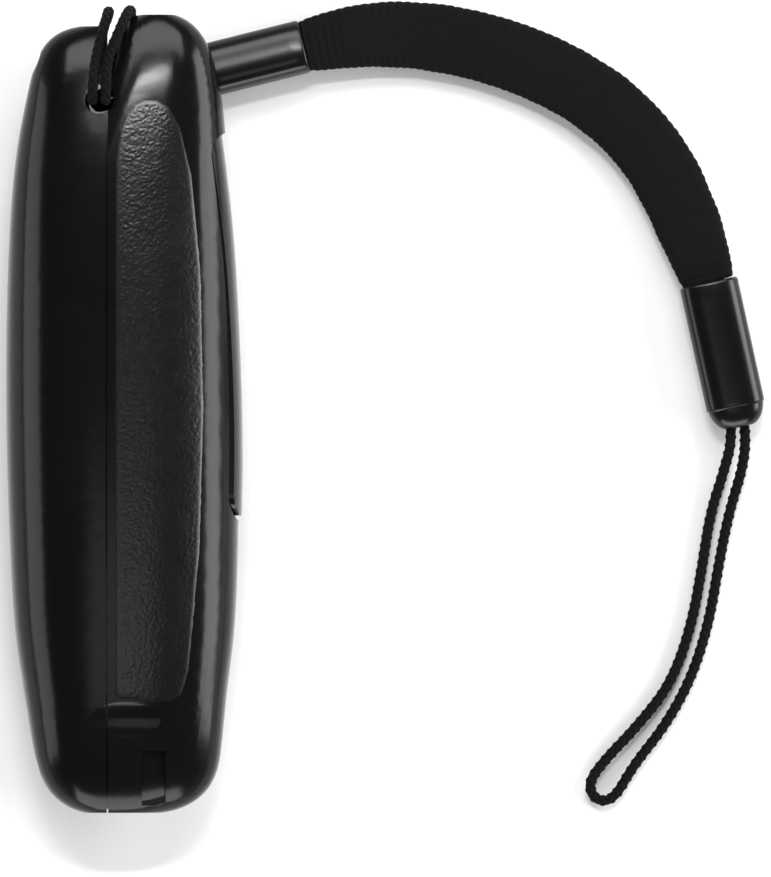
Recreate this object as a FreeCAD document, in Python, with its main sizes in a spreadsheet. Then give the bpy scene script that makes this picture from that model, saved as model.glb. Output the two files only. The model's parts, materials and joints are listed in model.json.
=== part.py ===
"""Clicker trainer with a wrist strap, lying on its side, in millimetres.

+X points to the button, +Y to the strap end of the case, +Z up. The origin is on the resting
surface, under the centre of the case.
"""
import FreeCAD
import Part
import math
import os
import re

from FreeCAD import Placement, Rotation, Vector

os.makedirs("parts", exist_ok=True)
doc = FreeCAD.newDocument("clicker_trainer")

# ---------------------------------------------------------------- driving dimensions

SIZES = (
    ("seam_x", -1.9, "plane where the two shells meet"),
    ("mid_z", 8.0, "height of the case's middle plane"),
    ("slab_half", 8.0, "from the case's middle plane down to the flat that it rests on"),
    ("form_half", 8.3, "half the thickness of the rounded form before that cut"),
    ("case_end", 45.05, "distance of the case's two ends from the middle"),
    ("back_end", 43.75, "top end of the back shell"),
    ("wall", 1.8, "thickness of the shells"),
    ("section_power", 2.5, "superellipse power of the cross-section"),
    ("lower_power", 2.6, "superellipse power of the thickness towards the lower end"),
    ("lower_reach", 46.0, "where the lower thickness would come to nothing"),
    ("dome_reach", 46.6, "where the dome's thickness would come to nothing"),
    ("back_reach", 44.8, "where the back shell's thickness would come to nothing"),
    ("seam_gap", 0.22, "width of the groove along the seam"),
    ("seam_depth", 0.45, "depth of the groove along the seam"),
    ("notch_depth", 0.35, "depth of the short notches at the lower end"),
    ("button_half", 3.8, "half the width of the button"),
    ("button_low", -11.5, "lower end of the button"),
    ("button_high", 31.4, "upper end of the button"),
    ("button_floor", 9.9, "inner face of the button plate"),
    ("button_gap", 0.3, "clearance round the button"),
    ("corner", 2.4, "corner radius of the button"),
    ("pin_x", 7.9, "hinge pin"),
    ("pin_y", 28.5, "hinge pin"),
    ("pin_radius", 0.75, "hinge pin"),
    ("pin_half", 4.2, "half the hinge pin's length"),
    ("barrel_radius", 1.7, "barrel of the button round the pin"),
    ("barrel_half", 2.2, "half the length of that barrel"),
    ("running", 0.05, "radial clearance of the button on its pin"),
    ("striker_y", -4.0, "striker"),
    ("striker_tip_x", 6.2, "where the striker ends, just clear of the tongue"),
    ("striker_radius", 1.5, "striker tip"),
    ("post_radius", 2.1, "post of the button that carries the striker tip"),
    ("stem_radius", 0.8, "stem of the striker tip"),
    ("tongue_face", 5.9, "face of the tongue that the striker meets"),
    ("tongue_thick", 0.3, "spring steel"),
    ("tongue_half", 4.3, "half the tongue's width"),
    ("tongue_root", -30.0, "clamped end of the tongue"),
    ("tongue_tip", 13.0, "free end of the tongue"),
    ("seat_low", -30.5, "seat block in the front shell"),
    ("seat_high", -22.0, "seat block in the front shell"),
    ("keeper_thick", 1.2, "clamping plate"),
    ("keeper_screw_y", -26.2, "keeper screws"),
    ("keeper_screw_z", 2.7, "keeper screws, from the middle plane"),
    ("keeper_screw_radius", 0.8, "shank of the keeper screws"),
    ("case_screw_y", 39.6, "case screws, from the middle"),
    ("case_screw_radius", 0.75, "shank of the case screws"),
    ("case_screw_tip", 4.0, "end of the case screws"),
    ("screw_seat", -6.4, "where the heads of the case screws bear"),
    ("well_radius", 1.35, "wells of the case screws"),
    ("hole_x", -2.8, "lanyard hole"),
    ("hole_y", 35.5, "lanyard hole"),
    ("hole_radius", 1.7, "lanyard hole"),
    ("hole_boss", 3.1, "wall round the lanyard hole"),
    ("cord_diameter", 1.3, "thin braided cord"),
    ("case_cap_length", 13.6, "sleeve next to the case"),
    ("case_cap_wide", 6.1, "sleeve next to the case"),
    ("case_cap_thick", 4.1, "sleeve next to the case"),
    ("free_cap_length", 16.8, "sleeve at the strap's free end"),
    ("free_cap_wide", 6.7, "sleeve at the strap's free end"),
    ("free_cap_thick", 4.4, "sleeve at the strap's free end"),
    ("cap_wall", 0.6, "wall of the sleeves"),
    ("cord_slot_wide", 3.2, "slot in a sleeve's tip for two strands of cord"),
    ("cord_slot_thick", 1.7, "slot in a sleeve's tip for two strands of cord"),
    ("knot_back", 3.9, "middle of a knot, from the tip of its sleeve"),
    ("web_wide", 7.4, "flat woven webbing"),
    ("web_thick", 2.2, "flat woven webbing"),
    ("tail_wide", 4.0, "webbing where it is gathered inside a sleeve"),
    ("tail_thick", 1.9, "webbing where it is gathered inside a sleeve"),
    ("tail_length", 4.6, "webbing where it is gathered inside a sleeve"),
)

sizes = doc.addObject("Spreadsheet::Sheet", "sizes")
for row, (alias, value, note) in enumerate(SIZES, start=1):
    sizes.set(f"A{row}", note)
    sizes.set(f"B{row}", str(value))
    sizes.setAlias(f"B{row}", alias)
doc.recompute()


def size(alias):
    """A driving dimension, as the sheet holds it."""
    return float(sizes.get(alias))


MID_Z = size("mid_z")
SEAM_X = size("seam_x")
CASE_END = size("case_end")
ALONG_X = Rotation(Vector(0, 0, 1), Vector(1, 0, 0))

# ---------------------------------------------------------------- document helpers

ALIAS = re.compile(r"\b(" + "|".join(alias for alias, _, _ in SIZES) + r")\b")
PLACE = {"x": "Placement.Base.x", "y": "Placement.Base.y", "z": "Placement.Base.z"}


def bind(thing, **expressions):
    """Ties properties of a document object to the sheet's cells."""
    for prop, expression in expressions.items():
        thing.setExpression(PLACE.get(prop, prop), ALIAS.sub(r"sizes.\1", expression))
    return thing


def box(name, **expressions):
    """A Part::Box from expressions for x, y, z, Length, Width and Height."""
    return bind(doc.addObject("Part::Box", name), **expressions)


def round_bar(name, along=None, **expressions):
    """A Part::Cylinder along +Z, or along another direction."""
    bar = doc.addObject("Part::Cylinder", name)
    if along is not None:
        bar.Placement = Placement(Vector(), along)
    return bind(bar, **expressions)


def cut(name, base, tool):
    made = doc.addObject("Part::Cut", name)
    made.Base = base
    made.Tool = tool
    return made


def cut_all(name, base, *tools):
    """Several tools taken from a piece one after another."""
    for number, tool in enumerate(tools[:-1], start=1):
        base = cut(f"{name}_{number}", base, tool)
    return cut(name, base, tools[-1])


def fuse(name, *shapes):
    made = doc.addObject("Part::MultiFuse", name)
    made.Shapes = list(shapes)
    return made


def common(name, *shapes):
    made = doc.addObject("Part::MultiCommon", name)
    made.Shapes = list(shapes)
    return made


def mirrored(name, source, normal, base):
    """The mirror image of a piece, in the plane through base."""
    made = doc.addObject("Part::Mirroring", name)
    made.Source = source
    made.Normal = normal
    made.Base = base
    return made


def group(name, *shapes):
    """Several separate solids in one node."""
    made = doc.addObject("Part::Compound", name)
    made.Links = list(shapes)
    return made


def feature(name, shape):
    """A document object for a shape that no ready-made feature gives."""
    made = doc.addObject("Part::Feature", name)
    made.Shape = shape
    return made


def rounded_edges(name, source, radius, wanted):
    """A Part::Fillet of the edges for which wanted(edge) is true."""
    doc.recompute()
    made = doc.addObject("Part::Fillet", name)
    made.Base = source
    made.Edges = [(i, radius, radius) for i, edge in enumerate(source.Shape.Edges, 1) if wanted(edge)]
    return made


def turned(name, profile, placement):
    """A PartDesign body turned from a profile of (radius, height) points about its own Z axis."""
    body = doc.addObject("PartDesign::Body", name)
    plane = next(f for f in body.Origin.OriginFeatures if f.Role == "XZ_Plane")
    sketch = body.newObject("Sketcher::SketchObject", name + "_profile")
    sketch.AttachmentSupport = [(plane, "")]
    sketch.MapMode = "FlatFace"
    corners = [Vector(radius, height, 0) for radius, height in profile]
    for start, end in zip(corners, corners[1:] + corners[:1]):
        sketch.addGeometry(Part.LineSegment(start, end))
    turn = body.newObject("PartDesign::Revolution", name + "_turn")
    turn.Profile = sketch
    turn.ReferenceAxis = (sketch, ["V_Axis"])
    turn.Angle = 360
    body.Placement = placement
    return body


# ---------------------------------------------------------------- the rounded form of the case

BACK_EDGE = (
    (-4.6, -45.05), (-6.7, -44.2), (-8.5, -42.6), (-9.7, -40.1), (-10.9, -34.0), (-11.9, -28.0),
    (-12.9, -15.8), (-13.35, 0.0), (-13.05, 19.0), (-12.2, 29.4), (-11.3, 34.6), (-10.4, 38.4),
    (-9.4, 41.0), (-7.6, 42.9), (-4.6, 43.75),
)
FRONT_EDGE = (
    (4.4, -45.05), (7.4, -44.1), (9.3, -42.6), (10.5, -40.1), (11.25, -34.5), (12.05, -28.1),
    (12.85, -14.0), (12.95, 0.0), (12.75, 10.0), (12.3, 20.0), (11.6, 29.0), (10.95, 36.1),
    (10.2, 39.6), (9.2, 42.1), (7.7, 44.0), (5.8, 45.05),
)
DOME_EDGE = (
    (-7.9, -45.05), (-7.9, 0.0), (-7.7, 15.0), (-6.7, 26.0), (-4.6, 33.5), (-3.0, 38.0),
    (-2.1, 40.6), (-1.3, 42.5), (-0.3, 44.0), (1.6, 45.05),
)
BUTTON_EDGE = (
    (12.9, -20.0), (13.25, -11.5), (13.35, -3.0), (13.2, 4.0), (12.75, 14.0), (12.25, 21.0),
    (11.6, 27.0), (10.95, 32.0), (10.4, 36.0),
)
STATIONS = 16

# A ring across a form: how many points, where the first one is in degrees, and how many edges.
BACK_RING = (20, 0, 1)
FRONT_RING = (24, 30, 4)
SLEEVE_RING = (16, 45, 4)


def smooth_edge(points):
    """A smooth outline through its points."""
    curve = Part.BSplineCurve()
    curve.interpolate([Vector(x, y, 0) for x, y in points])
    return curve


def across(curve, y):
    """The x of an outline at a height y, which rises all along it."""
    low, high = curve.FirstParameter, curve.LastParameter
    for _ in range(40):
        middle = (low + high) / 2
        if curve.value(middle).y < y:
            low = middle
        else:
            high = middle
    return curve.value(low).x


def smooth_step(t):
    t = min(max(t, 0.0), 1.0)
    return t * t * (3 - 2 * t)


def half_thickness(y, upper_reach):
    """Half the form's thickness at a height y."""
    reach, power = (upper_reach, 2.0) if y > 0 else (size("lower_reach"), size("lower_power"))
    return size("form_half") * (1 - (abs(y) / reach) ** power) ** (1 / power)


def superellipse(ring, power, place):
    """A smooth closed wire through place(across share, up share) of a unit superellipse.

    Every ring of one kind has the same knots.
    """
    count, first, edges = ring
    points = []
    for i in range(count):
        angle = 2 * math.pi * i / count + math.radians(first)
        c, s = math.cos(angle), math.sin(angle)
        across_share = math.copysign(abs(c) ** (2 / power), c)
        up_share = math.copysign(abs(s) ** (2 / power), s)
        points.append(place(across_share, up_share))
    curve = Part.BSplineCurve()
    steps = [i / count for i in range(count + 1)]
    curve.interpolate(Points=points, PeriodicFlag=True, Parameters=steps)
    return Part.Wire([curve.toShape(k / edges, (k + 1) / edges) for k in range(edges)])


def section(ring, y, middle_x, left, right, half):
    """A closed curve across the case at a height y."""
    return superellipse(ring, size("section_power"), lambda a, b: Vector(
        middle_x + a * (right if a > 0 else left), y, MID_Z + b * half))


def rounded_form(ring, low, high, left_of, right_of, middle_of, reach, inset):
    """A solid lofted through superellipses, its whole surface moved in by inset."""
    wires = []
    shrink = 1 - inset / CASE_END
    high -= 1.5 * max(inset - 1.0, 0.0)
    for k in range(STATIONS + 1):
        y = low + (high - low) * (1 - math.cos(math.pi * k / STATIONS)) / 2
        middle = middle_of(y)
        left = middle - left_of(y) - inset
        right = right_of(y) - middle - inset
        wires.append(section(ring, y * shrink, middle, left, right, half_thickness(y, reach) - inset))
    return Part.makeLoft(wires, True, False)


back_edge = smooth_edge(BACK_EDGE)
front_edge = smooth_edge(FRONT_EDGE)
dome_edge = smooth_edge(DOME_EDGE)
button_edge = smooth_edge(BUTTON_EDGE)
DOME_MIDDLE = 3.7
DOME_START = 22.0


def seam_middle(y):
    return SEAM_X


def dome_middle(y):
    """The form's middle leaves the seam towards the top, where the front shell is a dome."""
    return SEAM_X + (DOME_MIDDLE - SEAM_X) * smooth_step((y - DOME_START) / (CASE_END - DOME_START))


def back_form(name, inset=0.0):
    return feature(name, rounded_form(
        BACK_RING, -CASE_END, size("back_end"), lambda y: across(back_edge, y), lambda y: SEAM_X + 6.0,
        seam_middle, size("back_reach"), inset))


def front_form(name, inset=0.0):
    return feature(name, rounded_form(
        FRONT_RING, -CASE_END, CASE_END, lambda y: across(dome_edge, y), lambda y: across(front_edge, y),
        dome_middle, size("dome_reach"), inset))


def button_form(name):
    return feature(name, rounded_form(
        FRONT_RING, -20.0, 36.0, lambda y: across(dome_edge, y), lambda y: across(button_edge, y),
        dome_middle, size("dome_reach"), 0.0))


# ---------------------------------------------------------------- tools that several pieces share

back_space = box("back_space", x="-60", y="-60", z="mid_z - slab_half",
                 Length="60 + seam_x", Width="120", Height="slab_half + form_half + 1")
front_space = box("front_space", x="seam_x", y="-60", z="mid_z - slab_half",
                  Length="60", Width="120", Height="slab_half + form_half + 1")
back_block = common("back_block", back_form("back_outer"), back_space)
front_block = common("front_block", front_form("front_outer"), front_space)
ENDS = (("upper", ""), ("lower", "-"))  # the two case screws, mirror images about the middle

lanyard_bore = round_bar("lanyard_bore", x="hole_x", y="hole_y", z="-1", Radius="hole_radius", Height="18")
hole_wall = round_bar("hole_wall", x="hole_x", y="hole_y", z="-1", Radius="hole_boss", Height="18")


def seam_groove():
    """The outer ring of the seam plane, which the shells leave open."""
    depth, gap = size("seam_depth"), size("seam_gap")
    low, high = depth - CASE_END, size("back_end") - depth
    rim = []
    for k in range(25):
        y = low + (high - low) * (1 - math.cos(math.pi * k / 24)) / 2
        rim.append((y, min(half_thickness(y, size("back_reach")), size("slab_half")) - depth))
    sides = []
    for sign in (1, -1):
        side = Part.BSplineCurve()
        side.interpolate([Vector(SEAM_X - gap, y, MID_Z + sign * z) for y, z in rim])
        sides.append(side.toShape())
    ends = [Part.LineSegment(Vector(SEAM_X - gap, y, MID_Z + z), Vector(SEAM_X - gap, y, MID_Z - z)).toShape()
            for y, z in (rim[0], rim[-1])]
    core = Part.Face(Part.Wire([sides[0], ends[1], sides[1], ends[0]])).extrude(Vector(2 * gap, 0, 0))
    slot = box("seam_slot", x="seam_x - seam_gap / 2", y="-60", z="-1",
               Length="seam_gap", Width="120", Height="18")
    return cut("seam_groove", slot, feature("seam_core", core))


def scoop(name, sign):
    """A shallow dish across the lower end of a grip area."""
    middle_x, middle_y, raised = 1.4, -35.3, 2.6
    dish = doc.addObject("Part::Ellipsoid", name)
    dish.Radius1 = 3.0
    dish.Radius2 = 10.4
    dish.Radius3 = 4.2
    dish.Angle1 = -90
    dish.Angle2 = 90
    surface = half_thickness(middle_y, size("dome_reach"))
    dish.Placement = Placement(Vector(middle_x, middle_y, MID_Z + sign * (surface + raised)), Rotation())
    return dish


groove = seam_groove()
scoops = (scoop("scoop_near", 1), scoop("scoop_far", -1))

# ---------------------------------------------------------------- back shell


def back_shell():
    posts = [box(f"back_post_{end}", x="-20", y=f"{sign}case_screw_y - 3.2", z="mid_z - 3.2",
                 Length="20", Width="6.4", Height="6.4") for end, sign in ENDS]
    cavity = cut_all("back_cavity", back_form("back_inner", size("wall")), hole_wall, *posts)
    hollow = cut("back_hollow", back_block, cavity)
    drills = [lanyard_bore]
    for end, sign in ENDS:
        drills.append(round_bar(f"back_well_{end}", ALONG_X, x="-16", y=f"{sign}case_screw_y", z="mid_z",
                                Radius="well_radius", Height="16 + screw_seat"))
        drills.append(round_bar(f"back_shank_{end}", ALONG_X, x="-16", y=f"{sign}case_screw_y", z="mid_z",
                                Radius="case_screw_radius + 0.1", Height="20"))
    return cut_all("back_shell", hollow, *drills, groove, *scoops)


# ---------------------------------------------------------------- front shell


def front_shell():
    posts = [box(f"front_post_{end}", x="seam_x - 1", y=f"{sign}case_screw_y - 2.6", z="mid_z - 2.6",
                 Length="20", Width="5.2", Height="5.2") for end, sign in ENDS]
    seat = box("tongue_seat", x="tongue_face", y="seat_low", z="mid_z - 9",
               Length="12", Width="seat_high - seat_low", Height="18")
    cavity = cut_all("front_cavity", front_form("front_inner", size("wall")), hole_wall, seat, *posts)
    hollow = cut("front_hollow", front_block, cavity)

    window = box("window_block", x="9", y="button_low - 0.5", z="mid_z - button_half - button_gap",
                 Length="10", Width="button_high - button_low + 0.5 + button_gap",
                 Height="2 * (button_half + button_gap)")
    window = rounded_edges("window", window, size("corner") + size("button_gap"), runs_along_x)
    relief = box("travel_relief", x="7", y="button_low - 0.5", z="mid_z - button_half - button_gap",
                 Length="4", Width="28", Height="2 * (button_half + button_gap)")
    pin_bore = round_bar("pin_bore", x="pin_x", y="pin_y", z="mid_z - pin_half",
                         Radius="pin_radius", Height="2 * pin_half")
    pilots = [round_bar(f"pilot_{end}", ALONG_X, x="seam_x - 1", y=f"{sign}case_screw_y", z="mid_z",
                        Radius="case_screw_radius", Height="case_screw_tip - seam_x + 1.3")
              for end, sign in ENDS]
    pilots += [round_bar(f"keeper_pilot_{side}", ALONG_X, x="0", y="keeper_screw_y",
                         z=f"mid_z {sign} keeper_screw_z",
                         Radius="keeper_screw_radius", Height="tongue_face + 3.6")
               for side, sign in (("near", "+"), ("far", "-"))]
    notch_floor = front_form("notch_floor", size("notch_depth"))
    notches = [cut(f"notch_{side}", box(f"notch_{side}_block", x="2", y="-44.2", z=f"mid_z {low}",
                                        Length="2.7", Width="6.2", Height="7"), notch_floor)
               for side, low in (("near", "+ 3"), ("far", "- 10"))]
    return cut_all("front_shell", hollow, lanyard_bore, window, relief, pin_bore, *pilots,
                   *notches, groove, *scoops)


def runs_along_x(edge):
    start, end = edge.Vertexes[0].Point, edge.Vertexes[-1].Point
    return abs((end - start).x) > 0.99 * (end - start).Length


# ---------------------------------------------------------------- button and striker


def thumb_button():
    """The button plate with its hinge barrel, a moulded recess and the striker's post."""
    blank = box("button_blank", x="button_floor", y="button_low", z="mid_z - button_half",
                Length="8", Width="button_high - button_low", Height="2 * button_half")
    blank = rounded_edges("button_rounded", blank, size("corner"), runs_along_x)
    recess = box("button_recess", x="button_floor - 1", y="button_low + 2", z="mid_z - button_half + 1.4",
                 Length="2.2", Width="22", Height="2 * button_half - 2.8")
    post = round_bar("striker_post", ALONG_X, x="striker_tip_x + 1.1", y="striker_y", z="mid_z",
                     Radius="post_radius", Height="button_floor - striker_tip_x + 0.6")
    barrel = round_bar("button_barrel", x="pin_x", y="pin_y", z="mid_z - barrel_half",
                       Radius="barrel_radius", Height="2 * barrel_half")
    web = box("button_web", x="pin_x", y="pin_y - 1.4", z="mid_z - barrel_half",
              Length="2.4", Width="2.8", Height="2 * barrel_half")
    solid = fuse("button_solid", cut("button_hollowed", blank, recess), post, barrel, web)
    bore = round_bar("barrel_bore", x="pin_x", y="pin_y", z="mid_z - 6",
                     Radius="pin_radius + running", Height="12")
    socket = round_bar("stem_socket", ALONG_X, x="striker_tip_x", y="striker_y", z="mid_z",
                       Radius="stem_radius", Height="3.1")
    bored = cut_all("button_bored", solid, bore, socket)
    return common("thumb_button", bored, button_form("button_surface"))


def striker_tip():
    """A domed tip on a stem that sits in the button's post."""
    radius, stem = size("striker_radius"), size("stem_radius")
    profile = ((0, 0), (radius * 0.55, 0), (radius * 0.9, 0.3), (radius, 0.7), (radius, 1.1),
               (stem, 1.1), (stem, 3.0), (0, 3.0))
    place = Placement(Vector(size("striker_tip_x"), size("striker_y"), MID_Z), ALONG_X)
    return turned("striker_tip", profile, place)


def hinge_pin():
    radius, length = size("pin_radius"), 2 * size("pin_half")
    chamfer = 0.2
    profile = ((0, 0), (radius - chamfer, 0), (radius, chamfer), (radius, length - chamfer),
               (radius - chamfer, length), (0, length))
    place = Placement(Vector(size("pin_x"), size("pin_y"), MID_Z - size("pin_half")), Rotation())
    return turned("hinge_pin", profile, place)


# ---------------------------------------------------------------- click mechanism


def click_tongue():
    """A spring-steel strip with a pressed dimple and two screw holes at its root."""
    strip = box("tongue_strip", x="tongue_face - tongue_thick", y="tongue_root", z="mid_z - tongue_half",
                Length="tongue_thick", Width="tongue_tip - tongue_root", Height="2 * tongue_half")
    strip = rounded_edges("tongue_rounded", strip, 1.6, runs_along_x)
    dimple_radius, dimple_rise, dimple_y = 14.0, 0.5, 5.0
    centre = Vector(size("tongue_face") + dimple_rise - dimple_radius, dimple_y, MID_Z)
    shell = Part.makeSphere(dimple_radius, centre).cut(
        Part.makeSphere(dimple_radius - size("tongue_thick"), centre))
    cap_box = Part.makeBox(2, 12, 12, Vector(size("tongue_face") - 0.3, dimple_y - 6, MID_Z - 6))
    dimple = feature("tongue_dimple", shell.common(cap_box))
    inner_ball = feature("tongue_ball", Part.makeSphere(dimple_radius - size("tongue_thick"), centre))
    holes = [round_bar(f"tongue_hole_{side}", ALONG_X, x="0", y="keeper_screw_y",
                       z=f"mid_z {sign} keeper_screw_z", Radius="keeper_screw_radius + 0.1", Height="12")
             for side, sign in (("near", "+"), ("far", "-"))]
    return cut("click_tongue", fuse("tongue_solid", strip, dimple), fuse("tongue_cuts", inner_ball, *holes))


def tongue_keeper():
    plate = box("keeper_plate", x="tongue_face - tongue_thick - keeper_thick", y="keeper_screw_y - 3.2",
                z="mid_z - tongue_half",
                Length="keeper_thick", Width="6.4", Height="2 * tongue_half")
    plate = rounded_edges("keeper_rounded", plate, 1.2, runs_along_x)
    holes = [round_bar(f"keeper_hole_{side}", ALONG_X, x="0", y="keeper_screw_y",
                       z=f"mid_z {sign} keeper_screw_z", Radius="keeper_screw_radius + 0.1", Height="12")
             for side, sign in (("near", "+"), ("far", "-"))]
    return cut("tongue_keeper", plate, fuse("keeper_holes", *holes))


def cross_recess(name, centre_x, y, z, width, depth):
    """Two crossed slots in a screw's head, which faces -X."""
    slot_a = Part.makeBox(depth, width, width / 4, Vector(centre_x, y - width / 2, z - width / 8))
    slot_b = Part.makeBox(depth, width / 4, width, Vector(centre_x, y - width / 8, z - width / 2))
    return feature(name, slot_a.fuse(slot_b))


def keeper_screws():
    """Two pan-head screws through the keeper and the tongue into the seat block."""
    shank = size("keeper_screw_radius")
    head_x = size("tongue_face") - size("tongue_thick") - size("keeper_thick") - 1.0
    length = size("tongue_face") + 3.2 - head_x
    profile = ((0, 0), (1.2, 0), (1.55, 0.35), (1.55, 1.0), (shank, 1.0),
               (shank, length - 0.6), (0, length))
    place = Placement(Vector(head_x, size("keeper_screw_y"), MID_Z + size("keeper_screw_z")), ALONG_X)
    blank = turned("keeper_screw_blank", profile, place)
    recess = cross_recess("keeper_recess", head_x, size("keeper_screw_y"), MID_Z + size("keeper_screw_z"),
                          1.6, 0.5)
    near = cut("keeper_screw_near", blank, recess)
    far = mirrored("keeper_screw_far", near, Vector(0, 0, 1), Vector(0, 0, MID_Z))
    return group("keeper_screws", near, far)


def case_screws():
    """Two long screws that pull the back shell onto the front shell."""
    shank, head = size("case_screw_radius"), 1.25
    head_x = size("screw_seat") - 1.5
    length = size("case_screw_tip") - head_x
    profile = ((0, 0), (head - 0.4, 0), (head, 0.5), (head, 1.5), (shank, 1.5),
               (shank, length - 0.9), (0, length))
    place = Placement(Vector(head_x, size("case_screw_y"), MID_Z), ALONG_X)
    blank = turned("case_screw_blank", profile, place)
    recess = cross_recess("case_recess", head_x, size("case_screw_y"), MID_Z, 1.5, 0.6)
    upper = cut("case_screw_upper", blank, recess)
    lower = mirrored("case_screw_lower", upper, Vector(0, 1, 0), Vector())
    return group("case_screws", upper, lower)


# ---------------------------------------------------------------- strap


def oval_wire(place, height, wide, thick):
    """A flat oval across a sleeve, at a height along it: wide in the sleeve's x, thick in its y."""
    return superellipse(SLEEVE_RING, 2.6, lambda a, b: place.multVec(
        Vector(a * wide / 2, b * thick / 2, height)))


def oval_bar(name, place, low, high, wide, thick):
    """A straight bar of oval section along a sleeve."""
    wires = [oval_wire(place, at, wide, thick) for at in (low, high)]
    return feature(name, Part.makeLoft(wires, True, True))


def end_cap(end, place):
    """A tapering sleeve, open at height 0 for the webbing, with a small slot in its rounded tip."""
    length, wide, thick = (size(f"{end}_cap_{side}") for side in ("length", "wide", "thick"))
    wall = size("cap_wall")
    name = f"{end}_end_cap"
    shape_of = ((0.0, 0.93), (0.3, 1.0), (length - 3.1, 1.0), (length - 2.4, 0.98), (length - 2.3, 0.94),
                (length - 1.5, 0.88), (length - 0.8, 0.77), (length - 0.3, 0.63), (length, 0.48))
    outer = Part.makeLoft([oval_wire(place, at, wide * share, thick * share) for at, share in shape_of],
                          True, True)
    hollow = [oval_wire(place, at, wide - 2 * wall, thick - 2 * wall) for at in (-1.0, 0.7 * length)]
    hollow.append(oval_wire(place, length - 2.8, 0.62 * wide, 0.6 * thick))
    slot = oval_bar(name + "_slot", place, length - 4.0, length + 1.0,
                    size("cord_slot_wide"), size("cord_slot_thick"))
    return cut_all(name, feature(name + "_outer", outer),
                   feature(name + "_hollow", Part.makeLoft(hollow, True, True)), slot)


def rounded_route(label, points):
    """A path of straight runs joined by tangent arcs, each as large as its runs allow."""
    edges, radii = [], []
    corners = [Vector(*p) for p in points]
    start = corners[0]
    for before, corner, after in zip(corners, corners[1:], corners[2:]):
        back, ahead = before - corner, after - corner
        reach = 0.45 * min(back.Length, ahead.Length)
        half_turn = (math.pi - back.getAngle(ahead)) / 2
        radius = reach / math.tan(half_turn)
        back.normalize()
        ahead.normalize()
        inward = back + ahead
        inward.normalize()
        enter, leave = corner + back * reach, corner + ahead * reach
        middle = corner + inward * (radius / math.cos(half_turn) - radius)
        edges.append(Part.LineSegment(start, enter).toShape())
        edges.append(Part.Arc(enter, middle, leave).toShape())
        radii.append(round(radius, 2))
        start = leave
    edges.append(Part.LineSegment(start, corners[-1]).toShape())
    path = Part.Wire(edges)
    print(label, "length", round(path.Length, 1), "radii", radii)
    return path


def cord_tube(name, points):
    """A round cord along a route."""
    path = rounded_route(name, points)
    radius = size("cord_diameter") / 2
    direction = Vector(*points[1]) - Vector(*points[0])
    ring = Part.Wire([Part.makeCircle(radius, Vector(*points[0]), direction)])
    tube = path.makePipeShell([ring], True, False)
    print(name, "volume share", round(tube.Volume / (math.pi * radius ** 2 * path.Length), 4))
    return feature(name, tube)


def webbing(name, points, sleeves):
    """A flat woven band that lies on its flat side, with a gathered tail in each sleeve."""
    path = rounded_route(name, points)
    start = Vector(*points[0])
    ahead = Vector(*points[1]) - start
    side = ahead.cross(Vector(0, 0, 1))
    side.normalize()
    up = side.cross(ahead)
    up.normalize()
    wide, thick = size("web_wide") / 2, size("web_thick") / 2
    corners = [start + side * (wide * a) + up * (thick * b)
               for a, b in ((-1, -1), (1, -1), (1, 1), (-1, 1))]
    sweep = Part.BRepOffsetAPI.MakePipeShell(path)
    sweep.setBiNormalMode(Vector(0, 0, 1))
    sweep.add(Part.makePolygon(corners + corners[:1]))
    sweep.build()
    sweep.makeSolid()
    band = sweep.shape()
    print(name, "volume share", round(band.Volume / (4 * wide * thick * path.Length), 4))
    tails = [oval_bar(f"{name}_tail_{k}", place, -0.6, size("tail_length"),
                      size("tail_wide"), size("tail_thick"))
             for k, place in enumerate(sleeves, start=1)]
    return fuse(name, feature(name + "_band", band), *tails)


def crimp(name, place):
    """A flattened metal ring pressed onto a tail of the webbing, inside its sleeve."""
    low, high = size("tail_length") - 3.4, size("tail_length") - 0.6
    ring = oval_bar(name + "_ring", place, low, high, size("tail_wide") + 0.7, size("tail_thick") + 0.7)
    hole = oval_bar(name + "_hole", place, low - 1, high + 1, size("tail_wide"), size("tail_thick"))
    return cut(name, ring, hole)


def knot(name, place, height):
    """The two cord ends pulled into one tight knot, as a lump across the sleeve."""
    lump = doc.addObject("Part::Ellipsoid", name)
    lump.Radius1 = 1.4
    lump.Radius2 = 1.8
    lump.Radius3 = 1.2
    lump.Angle1 = -90
    lump.Angle2 = 90
    lump.Placement = place.multiply(Placement(Vector(0, 0, height), Rotation()))
    return lump


def sleeve_place(mouth, tip, roll):
    """Where a sleeve lies, from the middle of its open end, a point further along it, and its roll."""
    along = Vector(*tip) - Vector(*mouth)
    turn = Rotation(Vector(0, 0, 1), along)
    wide = turn.multVec(Vector(1, 0, 0))
    level = along.cross(Vector(0, 0, 1))
    level.normalize()
    twist = math.degrees(wide.getAngle(level))
    if wide.cross(level).dot(along) < 0:
        twist = -twist
    return Placement(Vector(*mouth), turn.multiply(Rotation(Vector(0, 0, 1), twist + roll)))


CASE_CAP_MOUTH = (20.3, 41.65, 2.4)
CASE_CAP_TIP = (7.1, 38.35, 2.2)
CASE_CAP_ROLL = 15
FREE_CAP_MOUTH = (66.1, 14.9, 2.25)
FREE_CAP_TIP = (69.7, -1.5, 2.2)

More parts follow.
